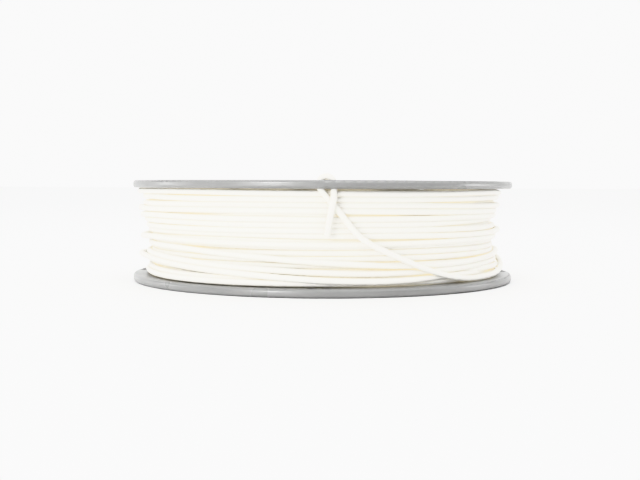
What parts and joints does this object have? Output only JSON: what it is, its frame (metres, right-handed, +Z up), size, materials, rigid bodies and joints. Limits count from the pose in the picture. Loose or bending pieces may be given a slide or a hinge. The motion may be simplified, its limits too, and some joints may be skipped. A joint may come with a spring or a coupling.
{
  "type": "filament spool",
  "caption": "Flat filament spool: ribbed flange discs clipped onto a core barrel, wound full of pale flexible filament whose end is folded through rim holes.",
  "frame": {"origin": "centre of the lower flange's outer face, on the surface that the spool lies on", "axes": "+Z up along the spool's axis, from the lower flange to the upper one; -Y is the front, where the strand's end is locked in the rim"},
  "size_m": [0.2, 0.2, 0.0549],
  "materials": {
    "flange_plastic": "satin light grey moulded plastic, slightly translucent",
    "core_plastic": "satin light grey moulded plastic",
    "filament": "soft off-white flexible thermoplastic, translucent with a low sheen"
  },
  "bodies": {
    "root": {"upper_flange": "flange_plastic", "lower_flange": "flange_plastic", "core_barrel": "core_plastic", "filament_winding": "filament", "filament_tail": "filament"}
  },
  "joints": []
}
